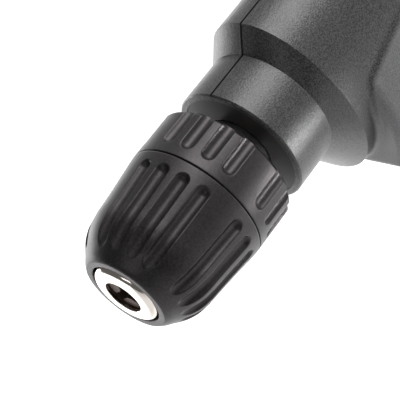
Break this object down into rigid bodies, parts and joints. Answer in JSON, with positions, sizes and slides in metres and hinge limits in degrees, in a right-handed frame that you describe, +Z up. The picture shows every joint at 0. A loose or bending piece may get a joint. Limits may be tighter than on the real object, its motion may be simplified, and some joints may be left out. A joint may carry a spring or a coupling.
{
  "type": "power drill",
  "caption": "Corded pistol-grip power drill with a fluted keyless chuck, round front collar, split motor housing and a handle with trigger, reverse lever and lock button.",
  "frame": {"origin": "centre of the chuck mouth, on the front face of the nose cap", "axes": "+X forward along the spindle, out of the chuck; +Y to the tool's left side; +Z up, away from the handle"},
  "size_m": [0.2121, 0.056, 0.1924],
  "materials": {
    "housing_plastic": "fine moulded grain",
    "sleeve_plastic": "satin moulded plastic",
    "cover_plastic": "satin moulded plastic",
    "control_plastic": "satin moulded plastic",
    "bright_steel": "bright plated, fine turned",
    "tool_steel": "hardened, dark oiled",
    "machined_steel": "ground",
    "screw_steel": "zinc plated",
    "spring_steel": "oiled",
    "cast_aluminium": "die cast",
    "sintered_bronze": "sintered",
    "fan_plastic": "moulded",
    "laminated_steel": "stacked sheet",
    "enamelled_copper": "enamelled wire",
    "bare_copper": "turned",
    "holder_brass": "pressed sheet",
    "carbon": "dull",
    "soft_rubber": "dull",
    "switch_plastic": "moulded"
  },
  "bodies": {
    "housing": {"left_housing": "housing_plastic", "right_housing": "housing_plastic", "housing_screws": "screw_steel", "bearing_cover": "cover_plastic", "spindle_bearing_outer_race": "machined_steel", "spindle_bearing_balls": "machined_steel", "gear_plate": "cast_aluminium", "spindle_bush": "sintered_bronze", "front_motor_bearing_outer_race": "machined_steel", "front_motor_bearing_balls": "machined_steel", "rear_motor_bearing_outer_race": "machined_steel", "rear_motor_bearing_balls": "machined_steel", "bearing_boot": "soft_rubber", "fan_baffle": "fan_plastic", "stator_core": "laminated_steel", "field_coils": "enamelled_copper", "brush_holders": "holder_brass", "carbon_brushes": "carbon", "brush_springs": "spring_steel", "switch_module": "switch_plastic", "lever_pin": "switch_plastic", "capacitor": "switch_plastic", "cord_gland": "soft_rubber", "cord_clamp": "switch_plastic", "clamp_screws": "screw_steel"},
    "armature": {"armature_shaft": "machined_steel", "armature_core": "laminated_steel", "armature_winding": "enamelled_copper", "commutator": "bare_copper", "cooling_fan": "fan_plastic", "front_motor_bearing_inner_race": "machined_steel", "rear_motor_bearing_inner_race": "machined_steel"},
    "spindle": {"spindle": "machined_steel", "spindle_gear": "machined_steel", "spindle_clip": "spring_steel", "spindle_bearing_inner_race": "machined_steel", "chuck_body": "tool_steel", "chuck_screw": "screw_steel", "nose_cap": "bright_steel", "rear_sleeve": "sleeve_plastic"},
    "chuck_sleeve": {"front_sleeve": "sleeve_plastic", "jaw_nut": "tool_steel"},
    "jaw_1": {"jaw_1": "tool_steel"},
    "jaw_2": {"jaw_2": "tool_steel"},
    "jaw_3": {"jaw_3": "tool_steel"},
    "trigger": {"trigger": "control_plastic", "trigger_stem": "control_plastic", "dial_pin": "machined_steel"},
    "speed_dial": {"speed_dial": "control_plastic"},
    "reverse_lever": {"reverse_lever": "control_plastic"},
    "lock_button": {"lock_button": "control_plastic"}
  },
  "joints": [
    {"name": "armature_spin", "type": "hinge", "parent": "housing", "child": "armature", "pos_m": [-0.13, 0, -0.02016], "axis": [1, 0, 0], "continuous": true},
    {"name": "spindle_spin", "type": "hinge", "parent": "housing", "child": "spindle", "pos_m": [0, 0, 0], "axis": [1, 0, 0], "continuous": true},
    {"name": "sleeve_turn", "type": "hinge", "parent": "spindle", "child": "chuck_sleeve", "pos_m": [0, 0, 0], "axis": [1, 0, 0], "range_deg": [-900, 2220]},
    {"name": "jaw_1_slide", "type": "slide", "parent": "spindle", "child": "jaw_1", "axis": [0.9659, -0.2241, -0.1294], "range_m": [-0.01236, 0.00502]},
    {"name": "jaw_2_slide", "type": "slide", "parent": "spindle", "child": "jaw_2", "axis": [0.9659, 0.2241, -0.1294], "range_m": [-0.01236, 0.00502]},
    {"name": "jaw_3_slide", "type": "slide", "parent": "spindle", "child": "jaw_3", "axis": [0.9659, 0, 0.2588], "range_m": [-0.01236, 0.00502]},
    {"name": "trigger_pull", "type": "slide", "parent": "housing", "child": "trigger", "axis": [-1, 0, 0], "range_m": [0, 0.0065], "stiffness_N_per_m": 1500, "springref_m": -0.004},
    {"name": "dial_turn", "type": "hinge", "parent": "trigger", "child": "speed_dial", "pos_m": [-0.1336, 0, -0.0685], "axis": [0, 1, 0], "range_deg": [-150, 150]},
    {"name": "lever_swing", "type": "hinge", "parent": "housing", "child": "reverse_lever", "pos_m": [-0.15, 0, -0.0568], "axis": [0, 0, 1], "range_deg": [-10, 10]},
    {"name": "lock_press", "type": "slide", "parent": "housing", "child": "lock_button", "axis": [0, -1, 0], "range_m": [0, 0.0035], "stiffness_N_per_m": 1200, "springref_m": -0.002}
  ],
  "couplings": [
    {"joint": "spindle_spin", "follows": "armature_spin", "ratio": -0.14286},
    {"joint": "jaw_1_slide", "follows": "sleeve_turn", "m_per_rad": -0.00031831},
    {"joint": "jaw_2_slide", "follows": "sleeve_turn", "m_per_rad": -0.00031831},
    {"joint": "jaw_3_slide", "follows": "sleeve_turn", "m_per_rad": -0.00031831}
  ]
}
